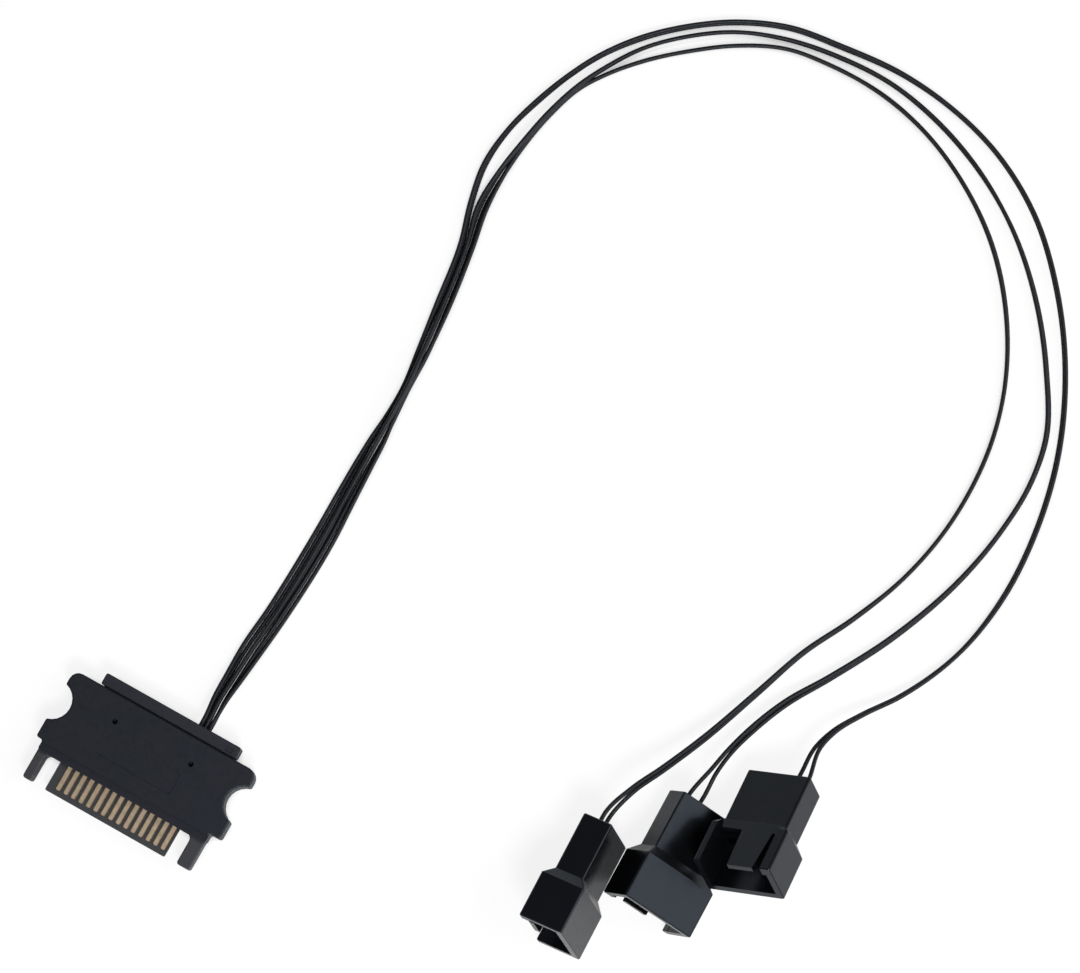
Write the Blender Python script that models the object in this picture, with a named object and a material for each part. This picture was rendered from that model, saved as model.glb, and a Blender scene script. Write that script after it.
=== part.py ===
# Fan power cable: a drive power plug, three pairs of wires and three fan connectors.
# X runs along the contact row, the plug mates towards -Y, and +Z is up.
# Sizes are in millimetres, and each finished mesh is scaled to metres.

import bpy
import numpy as np
from math import acos, atan2, cos, pi, radians, sin, tan
from mathutils import Euler, Matrix, Vector

for item in list(bpy.data.objects):
    bpy.data.objects.remove(item, do_unlink=True)

MM = 0.001

# Contacts: a row at the standard pitch, centred on x = 0.
CONTACT_COUNT = 15
CONTACT_PITCH = 1.27
CONTACT_WIDTH = 0.87
CONTACT_THICK = 0.2
CONTACT_PROUD = 0.09
CONTACT_PLAY = 0.04
CONTACT_SETBACK = 0.83
CONTACT_ROOT = 1.55
CONTACT_TIP_RADIUS = 0.28
CONTACT_SOFT = 0.05

# Plug body and the blade that carries the contacts.
PLUG_DEPTH = 14.76
PLUG_THICK = 5.0
PLUG_SOFT = 0.25
BLADE_LENGTH = 4.65
BLADE_THICK = 1.23
BLADE_TOP = 3.21
BLADE_LEFT_MARGIN = 1.28
BLADE_RIGHT_MARGIN = 0.31
BLADE_TIP_SOFT = 0.15
KEY_WIDTH = 1.24
KEY_DROP = 1.23
BLADE_ROOT = 0.8

# Side arms, one on each side of the blade.
ARM_LEFT_GAP = 2.27
ARM_RIGHT_GAP = 2.17
ARM_LEFT_WIDTH = 1.45
ARM_RIGHT_WIDTH = 2.17
ARM_THICK = 3.6
ARM_SHORTER = 0.05
ARM_TIP_RADIUS = 0.41
ARM_ROOT_RADIUS = 0.83
ARM_SOFT = 0.2
ARM_ROOT = 0.6

# Ears with a round grip notch in each, and the marks on the top face.
SHOULDER_LENGTH = 1.55
SHOULDER_RADIUS = 0.4
SHOULDER_INSIDE_RADIUS = 0.35
EAR_LEFT_REACH = 1.08
EAR_RIGHT_REACH = 1.7
EAR_LENGTH = 11.25
EAR_REAR_RADIUS = 1.45
EAR_FRONT_RADIUS = 0.35
NOTCH_RADIUS = 2.99
NOTCH_OUTSIDE = 0.72
NOTCH_Y = 0.05
NOTCH_EASE = 0.3
STRIP_LENGTH = 1.24
STRIP_DROP = 0.4
PANEL_X = -0.13
PANEL_Y = -2.01
PANEL_WIDTH = 12.29
PANEL_LENGTH = 3.51
PANEL_DEPTH = 0.12
PANEL_RADIUS = 0.5
HOLE_DIAMETER = 0.83
HOLE_DEPTH = 1.1
HOLE_Y = 1.67
HOLE_LEFT_X = -6.37
HOLE_RIGHT_X = 6.53

# Rear cover: a bar behind the body, held by a tongue in the body's pocket.
COVER_LEFT = -11.05
COVER_RIGHT = 11.8
COVER_DROP = 0.3
COVER_GAP = 0.1
COVER_RADIUS = 0.3
COVER_SOFT = 0.15
TONGUE_INSET = 1.55
TONGUE_LENGTH = 2.22
TONGUE_THICK = 2.6
TONGUE_PLAY = 0.3
TONGUE_ROOT = 0.6
LATCH_X = 10.3
LATCH_WIDTH = 1.14
LATCH_LENGTH = 0.72
LATCH_DEPTH = 0.2
LATCH_INSET = 0.4
WIRE_HOLE_X = 5.4
WIRE_HOLE_DEPTH = 3.61
WIRE_HOLE_PLAY = 0.16
WIRE_HOLE_RADIUS = 0.3
WIRE_END_GAP = 0.3

# Fan connector housing, the same for all three. Its own y runs from mouth to rear.
SOCKET_WIDTH = 12.7
SOCKET_HEIGHT = 7.12
SOCKET_LENGTH = 7.23
SOCKET_WALL = 1.03
SOCKET_BACK_WALL = 1.14
SOCKET_DEPTH = 6.4
SOCKET_SOFT = 0.15
SHOULDER_RUN = 1.55
BOX_WIDTH = 10.43
BOX_HEIGHT = 4.75
HOUSING_LENGTH = 17.97
CORNER_RADIUS = 0.36
TAB_X = 1.03
TAB_ROOT_WIDTH = 5.01
TAB_TIP_WIDTH = 4.08
TAB_THICK = 0.93
TAB_DROP = 0.57
TAB_SETBACK = 0.31
TAB_SLOT_LENGTH = 7.0
LIP_WIDTH = 1.65
POSITION_COUNT = 4
POSITION_PITCH = 2.54
CAVITY_WIDTH = 1.85
CAVITY_HEIGHT = 2.2
CAVITY_STOP = 8.47

# Pin terminal: square pin, box and round crimp barrel.
PIN_SIZE = 0.64
PIN_SETBACK = 2.4
PIN_TAPER = 0.5
PIN_EDGE = 0.06
PIN_TIP_EDGE = 0.04
PIN_PLAY = 0.3
TERMINAL_PLAY = 0.2
TERMINAL_BOX_LENGTH = 3.51
TERMINAL_NECK_LENGTH = 0.83
TERMINAL_EDGE = 0.12
NECK_RUN = 0.3
NECK_HEIGHT = 0.38
NECK_EDGE = 0.1
CRIMP_DIAMETER = 1.1
CRIMP_LENGTH = 1.86
POWER_POSITION = 2
GROUND_POSITION = 1

# Wires: thin, limp, in pairs.
WIRE_DIAMETER = 0.66
PAIR_GAP = 0.06
COLUMN_GAP = 0.07
FLOOR_GAP = 0.02
WIRE_POINTS = 76
HOUSING_RUN = 1.6
CAVITY_RUN = 0.8
PLUG_RUN = 1.0
BEND_WEIGHT = 9.0
SPLAY = 1.4

# Each housing: tilt in degrees, the mouth's rim in plan, and its lift off the floor.
HOUSINGS = {
    "inner": ((-154.2, -69.1, 157.4), (61.6, 5.0), 0.0),
    "middle": ((-171.5, -26.5, 177.0), (74.1, 14.7), 0.0),
    "outer": ((-30.3, -30.7, 19.5), (82.7, 26.9), 1.9),
}

# How far each wire leans sideways as it leaves its housing: ground, then power.
WIRE_LEAN = {"inner": (-0.2, -0.2), "middle": (-0.82, -0.4), "outer": (-0.25, 0.6)}

# Each pair's middle line as it lies: x, y, height, and how far the pair is turned on
# edge in degrees. 90 has the ground wire straight above the power wire.
ROUTES = {
    "outer": [
        (4.34, 12.45, 1.85, 71), (4.33, 16.00, 1.30, 51), (4.36, 21.10, 0.76, 22),
        (4.85, 27.07, 0.42, 0), (5.30, 40.99, 0.38, 0), (5.29, 48.00, 0.56, 30),
        (5.29, 53.99, 0.66, 52), (5.35, 57.49, 0.71, 68), (5.53, 60.98, 0.72, 88),
        (5.57, 66.47, 0.72, 90), (4.84, 71.93, 0.72, 90), (3.83, 79.90, 0.71, 68),
        (2.39, 89.83, 0.70, 65), (0.62, 95.83, 0.70, 67), (-0.50, 102.08, 0.70, 66),
        (0.02, 108.53, 0.72, 80), (1.78, 114.83, 0.72, 75), (3.95, 120.40, 0.72, 80),
        (6.42, 125.15, 0.72, 80), (10.35, 130.42, 0.72, 75), (16.13, 135.89, 0.72, 80),
        (21.81, 139.81, 0.72, 80), (29.65, 143.17, 0.72, 78), (37.79, 144.40, 0.72, 78),
        (47.83, 145.15, 0.72, 84), (55.26, 144.46, 0.72, 90), (66.21, 141.36, 0.72, 90),
        (75.40, 135.99, 0.72, 85), (83.96, 127.42, 0.72, 80), (90.88, 117.30, 0.72, 80),
        (96.35, 104.60, 0.72, 75), (98.63, 93.97, 0.72, 75), (99.14, 82.30, 0.72, 75),
        (97.50, 72.38, 1.03, 85), (92.85, 61.95, 1.96, 75), (89.06, 56.44, 3.10, 72),
        (86.75, 52.38, 4.34, 60), (85.72, 48.65, 5.78, 50),
    ],
    "middle": [
        (5.18, 12.45, 1.85, 90), (5.29, 15.98, 1.36, 90), (5.49, 21.00, 0.98, 90),
        (6.00, 27.00, 0.76, 86), (6.50, 41.00, 0.72, 72), (6.35, 47.99, 0.80, 86),
        (6.30, 53.95, 1.20, 90), (6.32, 57.40, 1.60, 90), (6.31, 60.85, 1.98, 90),
        (6.22, 66.29, 2.37, 90), (5.68, 71.85, 1.85, 90), (4.69, 79.99, 0.76, 90),
        (3.25, 89.98, 0.73, 90), (1.91, 95.97, 0.72, 62), (2.03, 101.90, 1.10, 80),
        (3.00, 107.71, 2.37, 90), (4.27, 113.80, 2.37, 90), (6.02, 119.18, 2.27, 90),
        (8.11, 123.85, 1.24, 93), (11.48, 129.28, 0.72, 100), (16.96, 134.65, 0.72, 105),
        (22.53, 138.47, 0.72, 105), (30.26, 141.41, 0.72, 98), (37.83, 142.76, 0.72, 94),
        (47.51, 143.00, 0.72, 94), (54.90, 141.60, 0.72, 90), (65.31, 137.61, 0.72, 92),
        (73.64, 132.38, 0.72, 105), (81.73, 124.77, 0.72, 112), (88.44, 115.82, 0.72, 114),
        (93.37, 106.50, 0.72, 112), (94.50, 100.06, 0.72, 105), (94.08, 90.67, 0.72, 100),
        (92.43, 82.20, 0.72, 105), (87.90, 69.69, 0.93, 115), (82.32, 59.16, 1.55, 125),
        (78.47, 52.67, 2.27, 145), (76.23, 47.29, 3.20, 155), (74.68, 42.02, 4.23, 158),
        (74.10, 38.46, 5.06, 157),
    ],
    "inner": [
        (6.02, 12.45, 1.85, 109), (6.23, 15.96, 1.30, 129), (6.57, 20.93, 0.76, 158),
        (7.07, 26.98, 0.42, 180), (7.62, 41.07, 0.38, 180), (7.36, 48.03, 0.56, 150),
        (7.19, 54.02, 0.66, 128), (7.11, 57.51, 0.71, 112), (6.82, 61.02, 0.72, 92),
        (6.41, 66.53, 0.72, 90), (6.28, 72.07, 0.72, 90), (5.54, 80.10, 0.71, 112),
        (4.10, 90.14, 0.70, 115), (2.98, 96.11, 0.70, 120), (2.84, 101.94, 0.73, 98),
        (3.28, 107.91, 0.72, 90), (4.42, 113.90, 0.72, 92), (6.22, 119.27, 0.72, 95),
        (8.90, 123.40, 0.72, 102), (12.83, 127.94, 0.72, 100), (18.30, 132.79, 0.72, 105),
        (23.56, 136.61, 0.72, 105), (30.69, 140.02, 0.72, 105), (37.81, 141.05, 0.72, 100),
        (47.10, 140.85, 0.72, 110), (54.18, 139.26, 0.72, 107), (64.04, 134.75, 0.72, 105),
        (72.09, 128.77, 0.72, 110), (79.32, 120.09, 0.72, 105), (84.89, 108.63, 0.72, 95),
        (86.44, 102.44, 0.72, 90), (87.17, 92.21, 0.72, 90), (86.75, 86.64, 0.72, 90),
        (84.79, 77.66, 0.72, 90), (81.18, 68.67, 0.72, 100), (77.26, 60.92, 1.14, 105),
        (74.06, 51.93, 2.27, 118), (70.45, 41.92, 4.34, 130), (67.35, 34.80, 6.20, 134),
        (65.03, 29.92, 7.43, 125),
    ],
}
COLUMNS = ["outer", "middle", "inner"]

# Places that several pieces share.
BODY_FRONT = -PLUG_DEPTH / 2
TIP_Y = BODY_FRONT - BLADE_LENGTH
EAR_FRONT = BODY_FRONT + SHOULDER_LENGTH
BODY_REAR = EAR_FRONT + EAR_LENGTH
COVER_FRONT = BODY_REAR + COVER_GAP
COVER_REAR = PLUG_DEPTH / 2
ROW_HALF = (CONTACT_COUNT - 1) * CONTACT_PITCH / 2 + CONTACT_WIDTH / 2
BLADE_LEFT = -ROW_HALF - BLADE_LEFT_MARGIN
BLADE_RIGHT = ROW_HALF + BLADE_RIGHT_MARGIN
ARM_LEFT_INNER = BLADE_LEFT - ARM_LEFT_GAP
ARM_LEFT_OUTER = ARM_LEFT_INNER - ARM_LEFT_WIDTH
ARM_RIGHT_INNER = BLADE_RIGHT + ARM_RIGHT_GAP
ARM_RIGHT_OUTER = ARM_RIGHT_INNER + ARM_RIGHT_WIDTH
BLADE_BOTTOM = BLADE_TOP - BLADE_THICK
BLADE_MIDDLE = (BLADE_TOP + BLADE_BOTTOM) / 2
PLUG_MIDDLE = PLUG_THICK / 2
COLUMN_PITCH = WIRE_DIAMETER + COLUMN_GAP
PAIR_PITCH = WIRE_DIAMETER + PAIR_GAP
# How far joined shapes run into each other, and cutting shapes past the surface.
OVERLAP = 0.05
CUT_EXTRA = 1.0
OCTAGON_CUT = 2 - 2**0.5


def linear(hex_colour):
    values = [int(hex_colour[i:i + 2], 16) / 255 for i in (1, 3, 5)]
    return [v / 12.92 if v <= 0.04045 else ((v + 0.055) / 1.055) ** 2.4 for v in values]


def material(name, hex_colour, roughness, metallic=0.0):
    result = bpy.data.materials.new(name)
    result.use_nodes = True
    shader = result.node_tree.nodes["Principled BSDF"]
    shader.inputs["Base Color"].default_value = (*linear(hex_colour), 1.0)
    shader.inputs["Roughness"].default_value = roughness
    shader.inputs["Metallic"].default_value = metallic
    result.diffuse_color = (*linear(hex_colour), 1.0)
    return result


def filleted(corners, steps=4):
    # Turns (x, y, radius) corners, listed anticlockwise, into a rounded outline.
    points = []
    for i, (x, y, radius) in enumerate(corners):
        corner = Vector((x, y))
        if radius == 0:
            points.append(corner)
            continue
        before = (Vector(corners[i - 1][:2]) - corner).normalized()
        after = (Vector(corners[(i + 1) % len(corners)][:2]) - corner).normalized()
        half = before.angle(after) / 2
        centre = corner + (before + after).normalized() * radius / sin(half)
        arm = corner + before * radius / tan(half) - centre
        start = atan2(arm.y, arm.x)
        left_turn = before.y * after.x - before.x * after.y > 0
        sweep = (pi - 2 * half) * (1 if left_turn else -1)
        for k in range(steps + 1):
            angle = start + sweep * k / steps
            points.append(centre + Vector((cos(angle), sin(angle))) * radius)
    return points


def rectangle(x0, x1, y0, y1, radius=0.0, steps=3):
    return filleted([(x0, y0, radius), (x1, y0, radius), (x1, y1, radius), (x0, y1, radius)], steps)


def inset(points, depth):
    # Moves an anticlockwise outline inwards by the same depth all round.
    result = []
    for i, point in enumerate(points):
        u = (point - points[i - 1]).normalized()
        v = (points[(i + 1) % len(points)] - point).normalized()
        inward = Vector((-u.y - v.y, u.x + v.x))
        result.append(point + inward * 2 * depth / inward.length_squared)
    return result


def loft(rings, name="shape"):
    # Joins rings of equal point counts and closes both ends.
    count = len(rings[0])
    points = [p for ring in rings for p in ring]
    faces = [tuple(reversed(range(count)))]
    for r in range(len(rings) - 1):
        for k in range(count):
            a = r * count + k
            b = r * count + (k + 1) % count
            faces.append((a, b, b + count, a + count))
    faces.append(tuple(range(len(points) - count, len(points))))
    mesh = bpy.data.meshes.new(name)
    mesh.from_pydata(points, [], faces)
    return mesh


def slab(outline, low, high, soft_low=0.0, soft_high=0.0, steps=2):
    # A plate with the given outline from z = low to high, its edges rounded over.
    rings = []
    for k in range(steps + 1 if soft_low else 1):
        angle = radians(90 * k / steps)
        ring = inset(outline, soft_low * (1 - sin(angle)))
        rings.append([(p.x, p.y, low + soft_low * (1 - cos(angle))) for p in ring])
    for k in range(steps if soft_high else 0, -1, -1):
        angle = radians(90 * k / steps)
        ring = inset(outline, soft_high * (1 - sin(angle)))
        rings.append([(p.x, p.y, high - soft_high * (1 - cos(angle))) for p in ring])
    return loft(rings)


def along_y(outline, front, rear, soft_front=0.0, soft_rear=0.0, steps=1):
    # A plate whose outline is drawn in x and z, reaching from y = front to rear.
    mesh = slab([Vector((p.x, -p.y)) for p in reversed(outline)],
                front, rear, soft_front, soft_rear, steps)
    mesh.transform(Matrix.Rotation(radians(-90), 4, "X"))
    return mesh


def box(x0, x1, y0, y1, z0, z1):
    return slab(rectangle(x0, x1, y0, y1), z0, z1)


def combined(body, others, operation):
    # Cuts the other meshes out of the body, or joins them to it, one after another.
    target = bpy.data.objects.new("target", body)
    bpy.context.collection.objects.link(target)
    tools = []
    for mesh in others:
        tool = bpy.data.objects.new("cutter", mesh)
        tool.hide_render = True
        tool.display_type = "WIRE"
        bpy.context.collection.objects.link(tool)
        step = target.modifiers.new("step", "BOOLEAN")
        step.operation = operation
        step.solver = "EXACT"
        step.object = tool
        tools.append(tool)
    graph = bpy.context.evaluated_depsgraph_get()
    result = bpy.data.meshes.new_from_object(target.evaluated_get(graph))
    for used in [target] + tools:
        bpy.data.objects.remove(used, do_unlink=True)
    return result


def finished(mesh):
    mesh.transform(Matrix.Scale(MM, 4))
    mesh.shade_smooth()
    mesh.set_sharp_from_angle(angle=radians(35))
    return mesh


def placed(name, mesh, look, location=(0, 0, 0), tilt=(0, 0, 0)):
    piece = bpy.data.objects.new(name, mesh)
    if not mesh.materials:
        mesh.materials.append(look)
    piece.location = Vector(location) * MM
    piece.rotation_euler = Euler([radians(a) for a in tilt])
    bpy.context.collection.objects.link(piece)
    return piece


plug_black = material("plug black", "#26282f", 0.45)
cover_black = material("cover black", "#24262c", 0.5)
contact_gold = material("contact gold", "#c9a878", 0.32, 1.0)
housing_black = material("nylon black", "#1d1e22", 0.32)
terminal_tin = material("terminal tin", "#c8c7c3", 0.3, 1.0)
wire_black = material("wire black", "#17181b", 0.42)

# Plug body: a rounded plate with ears, and a round grip notch in each ear.
ear_left = ARM_LEFT_OUTER - EAR_LEFT_REACH - OVERLAP
ear_right = ARM_RIGHT_OUTER + EAR_RIGHT_REACH + OVERLAP
side_left = ARM_LEFT_OUTER - OVERLAP
side_right = ARM_RIGHT_OUTER + OVERLAP
notch_half = acos(NOTCH_OUTSIDE / NOTCH_RADIUS)
notch_steps = 10


def notch(centre_x, first):
    # The notch's arc as plain corners, with its two mouth corners eased.
    arc = []
    for k in range(notch_steps + 1):
        angle = first + 2 * notch_half * (0.5 - k / notch_steps)
        ease = NOTCH_EASE if k in (0, notch_steps) else 0
        arc.append((centre_x + NOTCH_RADIUS * cos(angle), NOTCH_Y + NOTCH_RADIUS * sin(angle), ease))
    return arc


body_outline = filleted(
    [
        (side_left, BODY_FRONT, SHOULDER_RADIUS),
        (side_right, BODY_FRONT, SHOULDER_RADIUS),
        (side_right, EAR_FRONT, SHOULDER_INSIDE_RADIUS),
        (ear_right, EAR_FRONT, EAR_FRONT_RADIUS),
    ]
    + notch(ear_right + NOTCH_OUTSIDE, pi)
    + [
        (ear_right, BODY_REAR, EAR_REAR_RADIUS),
        (ear_left, BODY_REAR, EAR_REAR_RADIUS),
    ]
    + notch(ear_left - NOTCH_OUTSIDE, 0)
    + [
        (ear_left, EAR_FRONT, EAR_FRONT_RADIUS),
        (side_left, EAR_FRONT, SHOULDER_INSIDE_RADIUS),
    ],
)
plug_body = slab(body_outline, 0.0, PLUG_THICK, PLUG_SOFT, PLUG_SOFT)

# Arms: one fork whose web sits inside the body's front.
fork = filleted(
    [
        (ARM_LEFT_OUTER, TIP_Y + ARM_SHORTER, ARM_TIP_RADIUS),
        (ARM_LEFT_INNER, TIP_Y + ARM_SHORTER, ARM_TIP_RADIUS),
        (ARM_LEFT_INNER, BODY_FRONT + OVERLAP, ARM_ROOT_RADIUS),
        (ARM_RIGHT_INNER, BODY_FRONT + OVERLAP, ARM_ROOT_RADIUS),
        (ARM_RIGHT_INNER, TIP_Y + ARM_SHORTER, ARM_TIP_RADIUS),
        (ARM_RIGHT_OUTER, TIP_Y + ARM_SHORTER, ARM_TIP_RADIUS),
        (ARM_RIGHT_OUTER, BODY_FRONT + ARM_ROOT, 0),
        (ARM_LEFT_OUTER, BODY_FRONT + ARM_ROOT, 0),
    ],
)
arms = slab(fork, BLADE_MIDDLE - ARM_THICK / 2, BLADE_MIDDLE + ARM_THICK / 2,
            ARM_SOFT, ARM_SOFT)

# Blade with the key leg under its left end.
blade_profile = [
    Vector((BLADE_LEFT, BLADE_BOTTOM - KEY_DROP)),
    Vector((BLADE_LEFT + KEY_WIDTH, BLADE_BOTTOM - KEY_DROP)),
    Vector((BLADE_LEFT + KEY_WIDTH, BLADE_BOTTOM)),
    Vector((BLADE_RIGHT, BLADE_BOTTOM)),
    Vector((BLADE_RIGHT, BLADE_TOP)),
    Vector((BLADE_LEFT, BLADE_TOP)),
]
blade = along_y(blade_profile, TIP_Y, BODY_FRONT + BLADE_ROOT, BLADE_TIP_SOFT)
plug_body = combined(plug_body, [arms, blade], "UNION")

# Cuts in the body: lowered front strip, blank panel, two holes, rear pocket.
top_air = PLUG_THICK + CUT_EXTRA
strip = box(side_left - CUT_EXTRA, side_right + CUT_EXTRA,
            TIP_Y - CUT_EXTRA, BODY_FRONT + STRIP_LENGTH,
            PLUG_THICK - STRIP_DROP, top_air)
panel = slab(rectangle(PANEL_X - PANEL_WIDTH / 2, PANEL_X + PANEL_WIDTH / 2,
                       PANEL_Y - PANEL_LENGTH / 2, PANEL_Y + PANEL_LENGTH / 2,
                       PANEL_RADIUS),
             PLUG_THICK - PANEL_DEPTH, top_air)
holes = []
for hole_x in (HOLE_LEFT_X, HOLE_RIGHT_X):
    radius = HOLE_DIAMETER / 2
    circle = rectangle(hole_x - radius, hole_x + radius, HOLE_Y - radius, HOLE_Y + radius,
                       radius * 0.999, 4)
    holes.append(slab(circle, PLUG_THICK - HOLE_DEPTH, top_air))
tongue_left = COVER_LEFT + TONGUE_INSET
tongue_right = COVER_RIGHT - TONGUE_INSET
tongue_front = BODY_REAR - TONGUE_LENGTH
tongue_low = PLUG_MIDDLE - TONGUE_THICK / 2
tongue_high = PLUG_MIDDLE + TONGUE_THICK / 2
pocket = box(tongue_left - TONGUE_PLAY, tongue_right + TONGUE_PLAY,
             tongue_front - TONGUE_PLAY, BODY_REAR + CUT_EXTRA,
             tongue_low - TONGUE_PLAY, tongue_high + TONGUE_PLAY)
plug_body = combined(plug_body, [strip, panel, pocket] + holes, "DIFFERENCE")

# Contacts, and the slot for each one along the blade and into the body.
contact_front = TIP_Y + CONTACT_SETBACK
contact_rear = BODY_FRONT + CONTACT_ROOT
contact_top = BLADE_TOP + CONTACT_PROUD
contact_bottom = contact_top - CONTACT_THICK
contact_shape = filleted(
    [
        (-CONTACT_WIDTH / 2, contact_front, CONTACT_TIP_RADIUS),
        (CONTACT_WIDTH / 2, contact_front, CONTACT_TIP_RADIUS),
        (CONTACT_WIDTH / 2, contact_rear, 0),
        (-CONTACT_WIDTH / 2, contact_rear, 0),
    ],
    3,
)
slot_shape = inset(contact_shape, -CONTACT_PLAY)
slots = []
for k in range(CONTACT_COUNT):
    shift = Vector(((k - (CONTACT_COUNT - 1) / 2) * CONTACT_PITCH, 0))
    slots.append(slab([p + shift for p in slot_shape],
                      contact_bottom - CONTACT_PLAY, contact_top + CONTACT_PLAY))
plug_body = combined(plug_body, slots, "DIFFERENCE")
placed("plug_body", finished(plug_body), plug_black)

contact_mesh = finished(slab(contact_shape, contact_bottom, contact_top, 0.0, CONTACT_SOFT, 1))
for k in range(CONTACT_COUNT):
    x = (k - (CONTACT_COUNT - 1) / 2) * CONTACT_PITCH
    placed("contact_%02d" % (k + 1), contact_mesh, contact_gold, (x, 0, 0))

# Rear cover: bar and tongue in one, with the hole that the six wires leave by.
bar = slab(rectangle(COVER_LEFT, COVER_RIGHT, COVER_FRONT, COVER_REAR, COVER_RADIUS),
           COVER_DROP, PLUG_THICK - COVER_DROP, COVER_SOFT, COVER_SOFT, 1)
tongue = box(tongue_left, tongue_right, tongue_front, COVER_FRONT + TONGUE_ROOT,
             tongue_low, tongue_high)
hole_half = COLUMN_PITCH + WIRE_DIAMETER / 2 + WIRE_HOLE_PLAY
hole_high = PAIR_PITCH / 2 + WIRE_DIAMETER / 2 + WIRE_HOLE_PLAY
wire_hole = along_y(rectangle(WIRE_HOLE_X - hole_half, WIRE_HOLE_X + hole_half,
                              PLUG_MIDDLE - hole_high, PLUG_MIDDLE + hole_high,
                              WIRE_HOLE_RADIUS),
                    COVER_REAR - WIRE_HOLE_DEPTH, COVER_REAR + CUT_EXTRA)
latch = box(LATCH_X - LATCH_WIDTH / 2, LATCH_X + LATCH_WIDTH / 2,
            COVER_FRONT + LATCH_INSET, COVER_FRONT + LATCH_INSET + LATCH_LENGTH,
            PLUG_THICK - COVER_DROP - LATCH_DEPTH, top_air)
cover = combined(combined(bar, [tongue], "UNION"), [wire_hole, latch], "DIFFERENCE")
placed("plug_rear_cover", finished(cover), cover_black)

# Fan connector housing: socket, sloping shoulders and a smaller box behind.
half_w = SOCKET_WIDTH / 2
half_h = SOCKET_HEIGHT / 2
shoulder_end = SOCKET_LENGTH + SHOULDER_RUN


def section(y, width, height, margin=0.0):
    outline = rectangle(-width / 2, width / 2, -height / 2, height / 2, CORNER_RADIUS, 3)
    return [(p.x, y, p.y) for p in reversed(inset(outline, margin))]


housing = loft([
    section(0.0, SOCKET_WIDTH, SOCKET_HEIGHT, SOCKET_SOFT),
    section(SOCKET_SOFT, SOCKET_WIDTH, SOCKET_HEIGHT),
    section(SOCKET_LENGTH, SOCKET_WIDTH, SOCKET_HEIGHT),
    section(shoulder_end, BOX_WIDTH, BOX_HEIGHT),
    section(HOUSING_LENGTH - SOCKET_SOFT, BOX_WIDTH, BOX_HEIGHT),
    section(HOUSING_LENGTH, BOX_WIDTH, BOX_HEIGHT, SOCKET_SOFT),
])

# The socket's hollow, and the tab side cut down to the tab's sloping outer face.
inner_half = half_w - SOCKET_WALL
tab_top = half_h - TAB_DROP
tab_under = tab_top - TAB_THICK
hollow = box(-inner_half, inner_half, -CUT_EXTRA, SOCKET_DEPTH,
             -half_h + SOCKET_BACK_WALL, tab_under)
lip_x = half_w - LIP_WIDTH
slot_left = -inner_half + OVERLAP
slot_end = TAB_SLOT_LENGTH
box_top = BOX_HEIGHT / 2 + OVERLAP
relief = along_y(
    [
        Vector((slot_left, box_top)),
        Vector((lip_x, box_top)),
        Vector((lip_x, half_h + CUT_EXTRA)),
        Vector((slot_left, half_h + CUT_EXTRA)),
    ],
    -CUT_EXTRA, shoulder_end + CUT_EXTRA / 2,
)
for vertex in relief.vertices:
    if vertex.co.z < half_h and vertex.co.y < 0:
        vertex.co.z = tab_top

# Two slots and the short end gap free the tab on three sides.
tab_free = slab(
    [
        Vector((slot_left, -CUT_EXTRA)),
        Vector((lip_x, -CUT_EXTRA)),
        Vector((lip_x, slot_end)),
        Vector((TAB_X + TAB_ROOT_WIDTH / 2, slot_end)),
        Vector((TAB_X + TAB_TIP_WIDTH / 2, TAB_SETBACK)),
        Vector((TAB_X - TAB_TIP_WIDTH / 2, TAB_SETBACK)),
        Vector((TAB_X - TAB_ROOT_WIDTH / 2, slot_end)),
        Vector((slot_left, slot_end)),
    ],
    tab_under - CUT_EXTRA / 2, half_h + CUT_EXTRA * 2,
)

# One stepped channel for each position: a pin hole, then the terminal's cavity.
channels = []
pin_half = PIN_SIZE / 2 + PIN_PLAY
for k in range(POSITION_COUNT):
    x = (k - (POSITION_COUNT - 1) / 2) * POSITION_PITCH
    steps = (
        (SOCKET_DEPTH - CUT_EXTRA / 2, pin_half, pin_half),
        (CAVITY_STOP, pin_half, pin_half),
        (CAVITY_STOP, CAVITY_WIDTH / 2, CAVITY_HEIGHT / 2),
        (HOUSING_LENGTH + CUT_EXTRA, CAVITY_WIDTH / 2, CAVITY_HEIGHT / 2),
    )
    channels.append(loft([
        [(x - w, y, h), (x + w, y, h), (x + w, y, -h), (x - w, y, -h)] for y, w, h in steps
    ]))
housing = combined(housing, [hollow, relief, tab_free] + channels, "DIFFERENCE")
housing_mesh = finished(housing)


def octagon(y, half_x, half_z, cut):
    # A ring with cut corners, square to the terminal's length.
    ring = [
        (-half_x + cut, -half_z), (half_x - cut, -half_z), (half_x, -half_z + cut),
        (half_x, half_z - cut), (half_x - cut, half_z), (-half_x + cut, half_z),
        (-half_x, half_z - cut), (-half_x, -half_z + cut),
    ]
    return [(x, y, z) for x, z in reversed(ring)]


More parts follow.
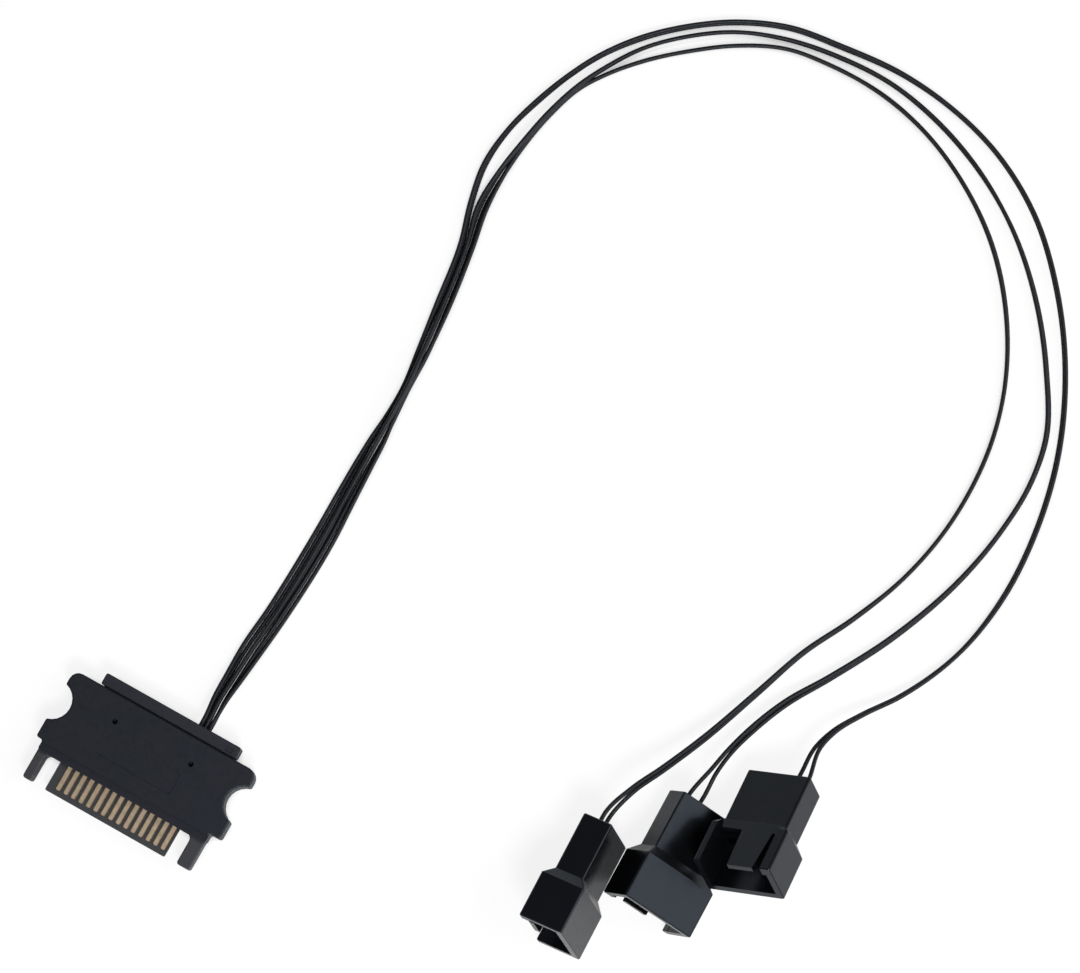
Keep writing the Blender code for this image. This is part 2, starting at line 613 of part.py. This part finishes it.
# Pin terminal: tapered square pin, box, neck and crimp barrel, centred on its channel.
pin = PIN_SIZE / 2
box_x = CAVITY_WIDTH / 2 - TERMINAL_PLAY
box_z = CAVITY_HEIGHT / 2 - TERMINAL_PLAY
crimp = CRIMP_DIAMETER / 2
box_front = CAVITY_STOP + TERMINAL_PLAY
box_rear = box_front + TERMINAL_BOX_LENGTH
crimp_front = box_rear + TERMINAL_NECK_LENGTH
crimp_rear = crimp_front + CRIMP_LENGTH
terminal_mesh = finished(loft([
    octagon(PIN_SETBACK, pin / 2, pin / 2, PIN_TIP_EDGE),
    octagon(PIN_SETBACK + PIN_TAPER, pin, pin, PIN_EDGE),
    octagon(box_front, pin, pin, PIN_EDGE),
    octagon(box_front, box_x, box_z, TERMINAL_EDGE),
    octagon(box_rear, box_x, box_z, TERMINAL_EDGE),
    octagon(box_rear + NECK_RUN, pin, NECK_HEIGHT, NECK_EDGE),
    octagon(crimp_front, pin, NECK_HEIGHT, NECK_EDGE),
    octagon(crimp_front, crimp, crimp, crimp * OCTAGON_CUT),
    octagon(crimp_rear, crimp, crimp, crimp * OCTAGON_CUT),
]))


def position_x(number):
    # Position 1 is the one at the lip's end of the row.
    return ((POSITION_COUNT - 1) / 2 - (number - 1)) * POSITION_PITCH


# The housings lie tilted, each with its lowest corner at its lift above the floor.
frames = {}
for name, (tilt, rim, lift) in HOUSINGS.items():
    turn = Euler([radians(a) for a in tilt]).to_matrix()
    middle = Vector((*rim, 0)) - turn @ Vector((0, 0, half_h))
    lowest = min((turn @ v.co / MM).z for v in housing_mesh.vertices)
    middle.z = FLOOR_GAP + lift - lowest
    frames[name] = Matrix.Translation(middle) @ turn.to_4x4()
    placed("fan_housing_" + name, housing_mesh, housing_black, middle, tilt)
    for kind, position in (("ground", GROUND_POSITION), ("power", POWER_POSITION)):
        at = frames[name] @ Vector((position_x(position), 0, 0))
        placed(kind + "_terminal_" + name, terminal_mesh, terminal_tin, at, tilt)


def hermite(knots, per_span=24):
    # A smooth curve through the knots, with slopes from each three neighbours.
    knots = np.array(knots)
    steps = np.linalg.norm(np.diff(knots, axis=0), axis=1)
    speed = np.diff(knots, axis=0) / steps[:, None]
    slopes = np.empty_like(knots)
    slopes[0] = speed[0]
    slopes[-1] = speed[-1]
    before = steps[:-1, None]
    after = steps[1:, None]
    slopes[1:-1] = (speed[:-1] * after + speed[1:] * before) / (before + after)
    curve = []
    for k in range(len(steps)):
        t = np.linspace(0, 1, per_span, endpoint=False)[:, None]
        curve.append(
            (2 * t**3 - 3 * t**2 + 1) * knots[k] + (t**3 - 2 * t**2 + t) * steps[k] * slopes[k]
            + (3 * t**2 - 2 * t**3) * knots[k + 1] + (t**3 - t**2) * steps[k] * slopes[k + 1]
        )
    curve.append(knots[-1:])
    return np.concatenate(curve)


def spread(curve, count):
    # Picks points along the curve, closer together where it bends.
    steps = np.diff(curve, axis=0)
    lengths = np.linalg.norm(steps, axis=1)
    ways = steps / lengths[:, None]
    bends = np.zeros(len(lengths))
    bends[1:] = np.linalg.norm(np.diff(ways, axis=0), axis=1)
    weights = np.concatenate([[0], np.cumsum(lengths + BEND_WEIGHT * bends)])
    wanted = np.linspace(0, weights[-1], count)
    return np.stack([np.interp(wanted, weights, curve[:, a]) for a in range(3)], axis=1)


def wire_knots(name, side):
    # One wire of a pair: side is 1 for the ground wire, -1 for the power wire.
    column = WIRE_HOLE_X + (COLUMNS.index(name) - 1) * COLUMN_PITCH
    height = PLUG_MIDDLE + side * PAIR_PITCH / 2
    knots = [
        (column, COVER_REAR - WIRE_HOLE_DEPTH + WIRE_END_GAP, height),
        (column, COVER_REAR, height),
        (column, COVER_REAR + PLUG_RUN, height),
    ]
    route = ROUTES[name]
    for i, (x, y, z, roll) in enumerate(route):
        back = Vector(route[max(i - 1, 0)][:3])
        ahead = Vector(route[min(i + 1, len(route) - 1)][:3])
        way = (ahead - back).normalized()
        left = Vector((-way.y, way.x, 0)).normalized()
        rise = way.cross(left)
        spread_apart = PAIR_PITCH / 2 * (SPLAY if i == len(route) - 1 else 1)
        offset = (left * cos(radians(roll)) + rise * sin(radians(roll))) * side * spread_apart
        knots.append(Vector((x, y, z)) + offset)
    across = position_x(GROUND_POSITION if side > 0 else POWER_POSITION)
    lean = WIRE_LEAN[name][0 if side > 0 else 1]
    knots.append(frames[name] @ Vector((across + lean, HOUSING_LENGTH + HOUSING_RUN, 0)))
    knots.append(frames[name] @ Vector((across + lean / 2, HOUSING_LENGTH - CAVITY_RUN, 0)))
    knots.append(frames[name] @ Vector((across, crimp_rear + WIRE_END_GAP, 0)))
    return [tuple(k) for k in knots]


for name in COLUMNS:
    for kind, side in (("ground", 1), ("power", -1)):
        path = spread(hermite(wire_knots(name, side)), WIRE_POINTS)
        path[:, 2] = np.maximum(path[:, 2], WIRE_DIAMETER / 2 + FLOOR_GAP)
        curve = bpy.data.curves.new(kind + "_wire_" + name, "CURVE")
        curve.dimensions = "3D"
        curve.bevel_depth = WIRE_DIAMETER / 2 * MM
        curve.bevel_resolution = 2
        curve.use_fill_caps = True
        spline = curve.splines.new("POLY")
        spline.points.add(WIRE_POINTS - 1)
        for point, place in zip(spline.points, path * MM):
            point.co = (*place, 1.0)
        curve.materials.append(wire_black)
        wire = bpy.data.objects.new(kind + "_wire_" + name, curve)
        bpy.context.collection.objects.link(wire)
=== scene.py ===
from math import cos, radians, sin

import bpy
import numpy as np
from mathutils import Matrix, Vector


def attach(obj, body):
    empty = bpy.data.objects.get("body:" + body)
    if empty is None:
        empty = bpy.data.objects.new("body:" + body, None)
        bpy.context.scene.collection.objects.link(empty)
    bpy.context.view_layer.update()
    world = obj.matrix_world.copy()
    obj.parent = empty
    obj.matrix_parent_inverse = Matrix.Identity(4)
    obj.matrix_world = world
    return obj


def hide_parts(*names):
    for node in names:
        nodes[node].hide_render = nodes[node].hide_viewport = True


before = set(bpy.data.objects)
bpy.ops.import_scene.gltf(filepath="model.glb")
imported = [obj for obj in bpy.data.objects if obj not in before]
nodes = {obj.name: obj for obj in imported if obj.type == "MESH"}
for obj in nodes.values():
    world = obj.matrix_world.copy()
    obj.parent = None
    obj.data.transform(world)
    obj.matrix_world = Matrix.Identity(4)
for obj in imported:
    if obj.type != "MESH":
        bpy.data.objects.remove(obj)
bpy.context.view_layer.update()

# Camera: it looks almost straight down on the cable from 64 cm up, a little from the
# front right, through a long lens that keeps the loop and the connectors in proportion.
aim = Vector((0.03077, 0.06340, 0.0))
azimuth = radians(29.3)
elevation = radians(82.0)
distance = 0.64015
camera_data = bpy.data.cameras.new("camera")
camera_data.lens = 142.64
camera_data.sensor_width = 36.0
camera_data.clip_start = 0.01
camera = bpy.data.objects.new("camera", camera_data)
toward = Vector((sin(azimuth) * cos(elevation), -cos(azimuth) * cos(elevation), sin(elevation)))
camera.location = aim + distance * toward
camera.rotation_euler = (-toward).to_track_quat("-Z", "Y").to_euler()
bpy.context.collection.objects.link(camera)
bpy.context.scene.camera = camera
bpy.context.scene.view_settings.view_transform = "Standard"

# Wires: stranded copper in thin black PVC, 0.66 mm across, two to each fan connector.
# Three pairs leave the plug side by side, lie together, cross at a pinch and open into
# one wide loop. Each is crimped at both ends, so it is a fixed length that lies loose.
mm = 0.001
wire_thick = 0.66
pair_pitch = 0.72
floor_gap = 0.02
plug_middle = 2.5
cover_rear = 7.38
connectors = ("outer", "middle", "inner")
wire_side = {"ground": 1, "power": -1}
wire_columns = {"outer": 4.67, "middle": 5.40, "inner": 6.13}

# Straight through the cover, from the wire's end in the plug to 1 mm behind the cover.
straight_run = (-3.31, 0.0, 1.0)

# How much wider than the pair's pitch its wires stand where they part for the housing.
end_splay = 1.4

# Each pair's middle line in millimetres: x, y, height, and how far the pair is turned on
# edge in degrees. 90 has the ground wire straight above the power wire.
routes = {
    "outer": [
        (4.34, 12.45, 1.85, 71), (4.33, 16.00, 1.30, 51), (4.36, 21.10, 0.76, 22),
        (4.85, 27.07, 0.42, 0), (5.30, 40.99, 0.38, 0), (5.29, 48.00, 0.56, 30),
        (5.29, 53.99, 0.66, 52), (5.35, 57.49, 0.71, 68), (5.53, 60.98, 0.72, 88),
        (5.57, 66.47, 0.72, 90), (4.84, 71.93, 0.72, 90), (3.83, 79.90, 0.71, 68),
        (2.39, 89.83, 0.70, 65), (0.62, 95.83, 0.70, 67), (-0.50, 102.08, 0.70, 66),
        (0.02, 108.53, 0.72, 80), (1.78, 114.83, 0.72, 75), (3.95, 120.40, 0.72, 80),
        (6.42, 125.15, 0.72, 80), (10.35, 130.42, 0.72, 75), (16.13, 135.89, 0.72, 80),
        (21.81, 139.81, 0.72, 80), (29.65, 143.17, 0.72, 78), (37.79, 144.40, 0.72, 78),
        (47.83, 145.15, 0.72, 84), (55.26, 144.46, 0.72, 90), (66.21, 141.36, 0.72, 90),
        (75.40, 135.99, 0.72, 85), (83.96, 127.42, 0.72, 80), (90.88, 117.30, 0.72, 80),
        (96.35, 104.60, 0.72, 75), (98.63, 93.97, 0.72, 75), (99.14, 82.30, 0.72, 75),
        (97.50, 72.38, 1.03, 85), (92.85, 61.95, 1.96, 75), (89.06, 56.44, 3.10, 72),
        (86.75, 52.38, 4.34, 60), (85.72, 48.65, 5.78, 50),
    ],
    "middle": [
        (5.18, 12.45, 1.85, 90), (5.29, 15.98, 1.36, 90), (5.49, 21.00, 0.98, 90),
        (6.00, 27.00, 0.76, 86), (6.50, 41.00, 0.72, 72), (6.35, 47.99, 0.80, 86),
        (6.30, 53.95, 1.20, 90), (6.32, 57.40, 1.60, 90), (6.31, 60.85, 1.98, 90),
        (6.22, 66.29, 2.37, 90), (5.68, 71.85, 1.85, 90), (4.69, 79.99, 0.76, 90),
        (3.25, 89.98, 0.73, 90), (1.91, 95.97, 0.72, 62), (2.03, 101.90, 1.10, 80),
        (3.00, 107.71, 2.37, 90), (4.27, 113.80, 2.37, 90), (6.02, 119.18, 2.27, 90),
        (8.11, 123.85, 1.24, 93), (11.48, 129.28, 0.72, 100), (16.96, 134.65, 0.72, 105),
        (22.53, 138.47, 0.72, 105), (30.26, 141.41, 0.72, 98), (37.83, 142.76, 0.72, 94),
        (47.51, 143.00, 0.72, 94), (54.90, 141.60, 0.72, 90), (65.31, 137.61, 0.72, 92),
        (73.64, 132.38, 0.72, 105), (81.73, 124.77, 0.72, 112), (88.44, 115.82, 0.72, 114),
        (93.37, 106.50, 0.72, 112), (94.50, 100.06, 0.72, 105), (94.08, 90.67, 0.72, 100),
        (92.43, 82.20, 0.72, 105), (87.90, 69.69, 0.93, 115), (82.32, 59.16, 1.55, 125),
        (78.47, 52.67, 2.27, 145), (76.23, 47.29, 3.20, 155), (74.68, 42.02, 4.23, 158),
        (74.10, 38.46, 5.06, 157),
    ],
    "inner": [
        (6.02, 12.45, 1.85, 109), (6.23, 15.96, 1.30, 129), (6.57, 20.93, 0.76, 158),
        (7.07, 26.98, 0.42, 180), (7.62, 41.07, 0.38, 180), (7.36, 48.03, 0.56, 150),
        (7.19, 54.02, 0.66, 128), (7.11, 57.51, 0.71, 112), (6.82, 61.02, 0.72, 92),
        (6.41, 66.53, 0.72, 90), (6.28, 72.07, 0.72, 90), (5.54, 80.10, 0.71, 112),
        (4.10, 90.14, 0.70, 115), (2.98, 96.11, 0.70, 120), (2.84, 101.94, 0.73, 98),
        (3.28, 107.91, 0.72, 90), (4.42, 113.90, 0.72, 92), (6.22, 119.27, 0.72, 95),
        (8.90, 123.40, 0.72, 102), (12.83, 127.94, 0.72, 100), (18.30, 132.79, 0.72, 105),
        (23.56, 136.61, 0.72, 105), (30.69, 140.02, 0.72, 105), (37.81, 141.05, 0.72, 100),
        (47.10, 140.85, 0.72, 110), (54.18, 139.26, 0.72, 107), (64.04, 134.75, 0.72, 105),
        (72.09, 128.77, 0.72, 110), (79.32, 120.09, 0.72, 105), (84.89, 108.63, 0.72, 95),
        (86.44, 102.44, 0.72, 90), (87.17, 92.21, 0.72, 90), (86.75, 86.64, 0.72, 90),
        (84.79, 77.66, 0.72, 90), (81.18, 68.67, 0.72, 100), (77.26, 60.92, 1.14, 105),
        (74.06, 51.93, 2.27, 118), (70.45, 41.92, 4.34, 130), (67.35, 34.80, 6.20, 134),
        (65.03, 29.92, 7.43, 125),
    ],
}

# Where each wire runs into its chamber at the rear of its fan housing, in millimetres.
housing_ends = {
    ("ground", "outer"): [(86.78, 44.36, 7.28), (86.99, 42.24, 8.38), (87.18, 40.48, 9.31)],
    ("power", "outer"): [(85.41, 43.88, 6.41), (85.27, 41.63, 7.30), (85.12, 39.75, 8.02)],
    ("ground", "middle"): [(72.75, 34.68, 5.58), (72.42, 32.32, 6.08), (72.08, 30.36, 6.53)],
    ("power", "middle"): [(74.64, 34.58, 4.64), (74.50, 32.21, 5.04), (74.35, 30.24, 5.40)],
    ("ground", "inner"): [(63.20, 25.10, 8.65), (63.23, 22.74, 9.12), (63.26, 20.78, 9.52)],
    ("power", "inner"): [(64.03, 24.75, 6.28), (64.07, 22.39, 6.75), (64.10, 20.43, 7.15)],
}


def hermite(knots, per_span=8):
    # A smooth curve through the knots, with slopes from each three neighbours.
    knots = np.array(knots)
    steps = np.linalg.norm(np.diff(knots, axis=0), axis=1)
    speed = np.diff(knots, axis=0) / steps[:, None]
    slopes = np.empty_like(knots)
    slopes[0] = speed[0]
    slopes[-1] = speed[-1]
    before = steps[:-1, None]
    after = steps[1:, None]
    slopes[1:-1] = (speed[:-1] * after + speed[1:] * before) / (before + after)
    curve = []
    for k in range(len(steps)):
        t = np.linspace(0, 1, per_span, endpoint=False)[:, None]
        curve.append(
            (2 * t**3 - 3 * t**2 + 1) * knots[k] + (t**3 - 2 * t**2 + t) * steps[k] * slopes[k]
            + (3 * t**2 - 2 * t**3) * knots[k + 1] + (t**3 - t**2) * steps[k] * slopes[k + 1]
        )
    curve.append(knots[-1:])
    return np.concatenate(curve)


def wire_path(kind, name):
    # One wire of a pair, from inside the plug to its crimp in the housing, in metres.
    from_middle = wire_side[kind] * pair_pitch / 2
    height = plug_middle + from_middle
    knots = [(wire_columns[name], cover_rear + run, height) for run in straight_run]
    route = routes[name]
    for i, (x, y, z, roll) in enumerate(route):
        back = Vector(route[max(i - 1, 0)][:3])
        ahead = Vector(route[min(i + 1, len(route) - 1)][:3])
        way = (ahead - back).normalized()
        left = Vector((-way.y, way.x, 0)).normalized()
        rise = way.cross(left)
        apart = from_middle * (end_splay if i == len(route) - 1 else 1)
        offset = (left * cos(radians(roll)) + rise * sin(radians(roll))) * apart
        knots.append(tuple(Vector((x, y, z)) + offset))
    path = hermite(knots + housing_ends[kind, name])
    path[:, 2] = np.maximum(path[:, 2], wire_thick / 2 + floor_gap)
    return path * mm


def linear(hex_colour):
    values = [int(hex_colour[i:i + 2], 16) / 255 for i in (1, 3, 5)]
    return [v / 12.92 if v <= 0.04045 else ((v + 0.055) / 1.055) ** 2.4 for v in values] + [1.0]


def add_node(tree, kind, inputs, **settings):
    # Adds one node; each input is a plain value or the socket that feeds it.
    node = tree.nodes.new(kind)
    for key, value in settings.items():
        setattr(node, key, value)
    for key, value in inputs.items():
        if isinstance(value, bpy.types.NodeSocket):
            tree.links.new(value, node.inputs[key])
        else:
            node.inputs[key].default_value = value
    return node


def uneven_finish(name, tones, tone_pattern, gloss, gloss_pattern, grain_depth, grain,
                  grain_stretch=(1, 1, 1), tint=(1.0, 1.0, 1.0, 1.0), specular=0.5,
                  metallic=0.0):
    # A material whose colour, gloss and fine relief each drift with a soft random pattern,
    # given as the size of its patches in millimetres and its detail. Real grain is finer
    # than this, and is drawn as coarse as it needs to be to show.
    material = bpy.data.materials.new(name)
    material.use_nodes = True
    tree = material.node_tree
    shader = tree.nodes["Principled BSDF"]
    shader.inputs["Specular Tint"].default_value = tint
    shader.inputs["Specular IOR Level"].default_value = specular
    shader.inputs["Metallic"].default_value = metallic
    place = add_node(tree, "ShaderNodeTexCoord", {}).outputs["Object"]
    stretched = add_node(tree, "ShaderNodeMapping", {"Vector": place, "Scale": grain_stretch})
    drift = []
    for spot, (size_mm, detail) in (
            (place, tone_pattern), (place, gloss_pattern), (stretched.outputs[0], grain)):
        drift.append(add_node(tree, "ShaderNodeTexNoise", {
            "Vector": spot, "Scale": 1000 / size_mm, "Detail": detail}).outputs[0])
    tone = add_node(tree, "ShaderNodeMix", {
        0: drift[0], 6: linear(tones[0]), 7: linear(tones[1])}, data_type="RGBA")
    tree.links.new(tone.outputs[2], shader.inputs["Base Color"])

    # The patterns lie mostly between 0.3 and 0.7.
    roughness = add_node(tree, "ShaderNodeMapRange", {
        "Value": drift[1], "From Min": 0.3, "From Max": 0.7,
        "To Min": gloss[0], "To Max": gloss[1]})
    tree.links.new(roughness.outputs[0], shader.inputs["Roughness"])
    relief = add_node(tree, "ShaderNodeBump", {
        "Height": drift[2], "Distance": grain_depth * mm, "Strength": 1.0})
    tree.links.new(relief.outputs[0], shader.inputs["Normal"])
    return material


# Extruded soft PVC: smooth and faintly oily, with a skin that is never quite even.
wire_pvc = uneven_finish(
    "black PVC, extruded", tones=("#0c0d0f", "#151518"), tone_pattern=(6.0, 2.0),
    gloss=(0.46, 0.58), gloss_pattern=(1.5, 2.0), grain_depth=0.006, grain=(0.35, 3.0),
    tint=(0.84, 0.90, 1.0, 1.0))

for name in connectors:
    for kind in wire_side:
        wire_name = kind + "_wire_" + name
        path = wire_path(kind, name)
        curve = bpy.data.curves.new(wire_name + "_sleeve", "CURVE")
        curve.dimensions = "3D"
        curve.bevel_depth = wire_thick / 2 * mm
        curve.bevel_resolution = 4
        curve.use_fill_caps = True
        spline = curve.splines.new("POLY")
        spline.points.add(len(path) - 1)
        for point, spot in zip(spline.points, path):
            point.co = (*spot, 1.0)
        spline.use_smooth = True
        curve.materials.append(wire_pvc)
        wire = bpy.data.objects.new(wire_name + "_sleeve", curve)
        bpy.context.collection.objects.link(wire)
        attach(wire, "root")
        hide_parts(wire_name)

# Floor and light: a white sheet under the cable, a soft lamp high at the front, a pale card
# on the right, and a room with light walls and a dim ceiling. The sheet glows white to the
# camera, keeps a soft shadow, and has a painted shade in the thin gaps between wires.
half_sheet = 1.5
sheet_shade = (0.2, 0.2, 0.2, 1.0)
sheet_glow = 0.85
mirrored_shade = (0.8, 0.8, 0.8, 1.0)
mirrored_glow = 0.12
painted_gap_shade_reach = 1.8
sheet = bpy.data.meshes.new("white_sheet")
sheet.from_pydata(
    [(-half_sheet, -half_sheet, 0), (half_sheet, -half_sheet, 0),
     (half_sheet, half_sheet, 0), (-half_sheet, half_sheet, 0)], [], [(0, 1, 2, 3)])
paper = bpy.data.materials.new("white paper")
paper.use_nodes = True
tree = paper.node_tree
shader = tree.nodes["Principled BSDF"]
shader.inputs["Roughness"].default_value = 1.0
shader.inputs["Specular IOR Level"].default_value = 0.0
shader.inputs["Emission Color"].default_value = (1.0, 1.0, 1.0, 1.0)

# In reflections the sheet is plain lit paper, so that it is darker between the housings.
seen = add_node(tree, "ShaderNodeLightPath", {})
mirrored = add_node(tree, "ShaderNodeMath", {
    0: seen.outputs["Is Glossy Ray"], 1: seen.outputs["Is Transmission Ray"]},
    operation="MAXIMUM")
shades = add_node(tree, "ShaderNodeMix", {
    0: mirrored.outputs[0], 6: sheet_shade, 7: mirrored_shade}, data_type="RGBA")
tree.links.new(shades.outputs[2], shader.inputs["Base Color"])

# How open each spot is: about a half beside a wire, and almost nothing in a thin gap.
# The sheet's glow is dimmed by it, which is a painted shade in the thin gaps between wires.
openness = add_node(tree, "ShaderNodeAmbientOcclusion", {
    "Distance": painted_gap_shade_reach * mm}, samples=4)
glow_with_painted_gap_shade = add_node(tree, "ShaderNodeMapRange", {
    "Value": openness.outputs["AO"], "From Min": 0.05, "From Max": 0.45,
    "To Max": sheet_glow})
direct = add_node(tree, "ShaderNodeMath", {
    0: seen.outputs["Is Camera Ray"], 1: glow_with_painted_gap_shade.outputs[0]}, operation="MULTIPLY")
lift = add_node(tree, "ShaderNodeMath", {
    0: mirrored.outputs[0], 1: mirrored_glow, 2: direct.outputs[0]},
    operation="MULTIPLY_ADD")
tree.links.new(lift.outputs[0], shader.inputs["Emission Strength"])
sheet.materials.append(paper)
floor = bpy.data.objects.new("white_sheet", sheet)
bpy.context.collection.objects.link(floor)

# The room's brightness from straight down, 0, over the horizon, 0.5, to straight up, 1.
below, wall, ceiling = 1.0, 0.45, 0.12
world = bpy.data.worlds.new("room")
world.use_nodes = True
tree = world.node_tree
way = add_node(tree, "ShaderNodeTexCoord", {})
parts = add_node(tree, "ShaderNodeSeparateXYZ", {"Vector": way.outputs["Generated"]})
height = add_node(tree, "ShaderNodeMapRange", {"Value": parts.outputs["Z"], "From Min": -1.0})
room_tones = add_node(tree, "ShaderNodeValToRGB", {0: height.outputs[0]})
ramp = room_tones.color_ramp
for stop, bright in ((0.48, below), (0.51, wall), (0.70, ceiling)):
    ramp.elements.new(stop).color = (bright, bright, bright, 1.0)
for end, bright in ((0, below), (-1, ceiling)):
    ramp.elements[end].color = (bright, bright, bright, 1.0)
tree.links.new(room_tones.outputs["Color"], tree.nodes["Background"].inputs["Color"])
bpy.context.scene.world = world

# Each lamp's name, place and width in metres, and power in watts.
lamp_aim = Vector((0.04, 0.06, 0.0))
for lamp_name, spot, size, power in (
        ("key_lamp", (0.364, -0.326, 0.806), 0.30, 4.6),
        ("card", (0.68, 0.34, 0.52), 1.00, 4.0),
        ("fill_lamp", (0.10, -0.90, 0.50), 0.70, 1.0)):
    lamp_data = bpy.data.lights.new(lamp_name, "AREA")
    lamp_data.shape = "DISK"
    lamp_data.size = size
    lamp_data.energy = power
    lamp = bpy.data.objects.new(lamp_name, lamp_data)
    lamp.location = spot
    lamp.rotation_euler = (lamp_aim - lamp.location).to_track_quat("-Z", "Y").to_euler()
    bpy.context.collection.objects.link(lamp)


# Plug body: one moulding in black glass-filled nylon, a plate with ears, arms and a blade.
# The spark-eroded mould left a satin grain and faint flow marks. The blade and the arms are
# painted a lighter grey, which is painted light for the light that falls on the front.


def dress(node_names, material):
    # Gives carried-over pieces their finish.
    for node_name in node_names:
        for slot in nodes[node_name].material_slots:
            slot.material = material


plug_nylon = uneven_finish(
    "black glass-filled nylon, satin moulded",
    tones=("#0a1012", "#19161e"), tone_pattern=(5.0, 3.0),
    gloss=(0.46, 0.58), gloss_pattern=(0.8, 2.0), grain_depth=0.008, grain=(0.16, 3.0),
    tint=(0.74, 0.83, 1.0, 1.0))

# The painted light on the front: its grey tones, the size of its patches, and the y's between
# which it ends.
lit_front_tones = ("#343435", "#434142")
front_patches = 1.5
lit_front_edge = (-7.9, -7.2)
tree = plug_nylon.node_tree
place = tree.nodes["Texture Coordinate"].outputs["Object"]
base_colour = tree.nodes["Principled BSDF"].inputs["Base Color"]
body_tone = base_colour.links[0].from_socket
front_pattern = add_node(tree, "ShaderNodeTexNoise", {
    "Vector": place, "Scale": 1000 / front_patches, "Detail": 3.0})
lit_front_tone = add_node(tree, "ShaderNodeMix", {
    0: front_pattern.outputs[0], 6: linear(lit_front_tones[0]), 7: linear(lit_front_tones[1])},
    data_type="RGBA")
along = add_node(tree, "ShaderNodeSeparateXYZ", {"Vector": place})
behind_lit_front = add_node(tree, "ShaderNodeMapRange", {
    "Value": along.outputs["Y"],
    "From Min": lit_front_edge[0] * mm, "From Max": lit_front_edge[1] * mm})
# Painted light: the blade and the arms take the lighter grey tones.
plug_tones = add_node(tree, "ShaderNodeMix", {
    0: behind_lit_front.outputs[0], 6: lit_front_tone.outputs[2], 7: body_tone}, data_type="RGBA")
tree.links.new(plug_tones.outputs[2], base_colour)
dress(["plug_body"], plug_nylon)

# Rear cover: a second moulding in the same nylon that snaps into the body from behind and
# closes over the wires' ends. Its mould was polished a little less evenly.
cover_nylon = uneven_finish(
    "black nylon, snap-in cover", tones=("#1b1c20", "#242529"), tone_pattern=(2.5, 3.0),
    gloss=(0.46, 0.58), gloss_pattern=(0.6, 2.0), grain_depth=0.008, grain=(0.14, 3.0),
    tint=(0.75, 0.82, 1.0, 1.0))
dress(["plug_rear_cover"], cover_nylon)

# Contacts: fifteen strips of phosphor bronze with a thin gold plating, pressed into slots
# along the blade. Rolling marks run lengthwise and the plating goes from greenish to pinkish.
# Each strip is painted bright along its middle and darker towards its sides, a painted sheen.
contact_count = 15
contact_pitch = 1.27
# The painted shade at each strip's sides.
shaded_side_gold = "#75634c"
contact_gold = uneven_finish(
    "gold-plated bronze strip", tones=("#c6bd9c", "#e0c2ac"), tone_pattern=(2.0, 3.0),
    gloss=(0.42, 0.54), gloss_pattern=(0.5, 2.0), grain_depth=0.004, grain=(0.08, 2.0),
    grain_stretch=(1, 0.1, 1), metallic=1.0)
tree = contact_gold.node_tree
place = tree.nodes["Texture Coordinate"].outputs["Object"]
base_colour = tree.nodes["Principled BSDF"].inputs["Base Color"]
bright_gold = base_colour.links[0].from_socket

# In pitches, from 0 on a strip's middle line to 0.5 half-way to the next strip.
across = add_node(tree, "ShaderNodeSeparateXYZ", {"Vector": place})
strips = add_node(tree, "ShaderNodeMath", {
    0: across.outputs["X"], 1: 1000 / contact_pitch}, operation="MULTIPLY")
off_middle = add_node(tree, "ShaderNodeMath", {
    0: strips.outputs[0], 1: 0.5}, operation="PINGPONG")
# Painted shade towards each strip's sides, so that its middle reads as a sheen on a rounded
# top.
painted_side_shade = add_node(tree, "ShaderNodeMapRange", {
    "Value": off_middle.outputs[0], "From Min": 0.16, "From Max": 0.34})
gold_tones = add_node(tree, "ShaderNodeMix", {
    0: painted_side_shade.outputs[0], 6: bright_gold, 7: linear(shaded_side_gold)}, data_type="RGBA")
tree.links.new(gold_tones.outputs[2], base_colour)
dress(["contact_%02d" % (k + 1) for k in range(contact_count)], contact_gold)

# Fan connector housings: three equal mouldings in black nylon 66, each with an open
# socket, a sprung locking tab, sloping shoulders and four chambers for crimped pins.
# They come from a smoother mould and are shinier than the plug.
housing_nylon = uneven_finish(
    "black nylon 66, semi-gloss moulded",
    tones=("#0b0c0e", "#111215"), tone_pattern=(3.0, 3.0),
    gloss=(0.20, 0.27), gloss_pattern=(2.0, 2.0), grain_depth=0.0006, grain=(0.14, 2.0),
    tint=(0.70, 0.82, 1.0, 1.0), specular=0.44)
dress(["fan_housing_" + name for name in connectors], housing_nylon)

# Pin terminals: stamped from tin-plated brass, with a square pin in front, a locking box
# and a round crimp on the wire's strands. Only their ends show, deep in the chambers.
terminal_tin = uneven_finish(
    "tin-plated brass, stamped", tones=("#b9b8b3", "#d2d1cd"), tone_pattern=(0.8, 2.0),
    gloss=(0.26, 0.40), gloss_pattern=(0.4, 2.0), grain_depth=0.004, grain=(0.1, 2.0),
    metallic=1.0)
dress([kind + "_terminal_" + name for kind in wire_side for name in connectors],
      terminal_tin)
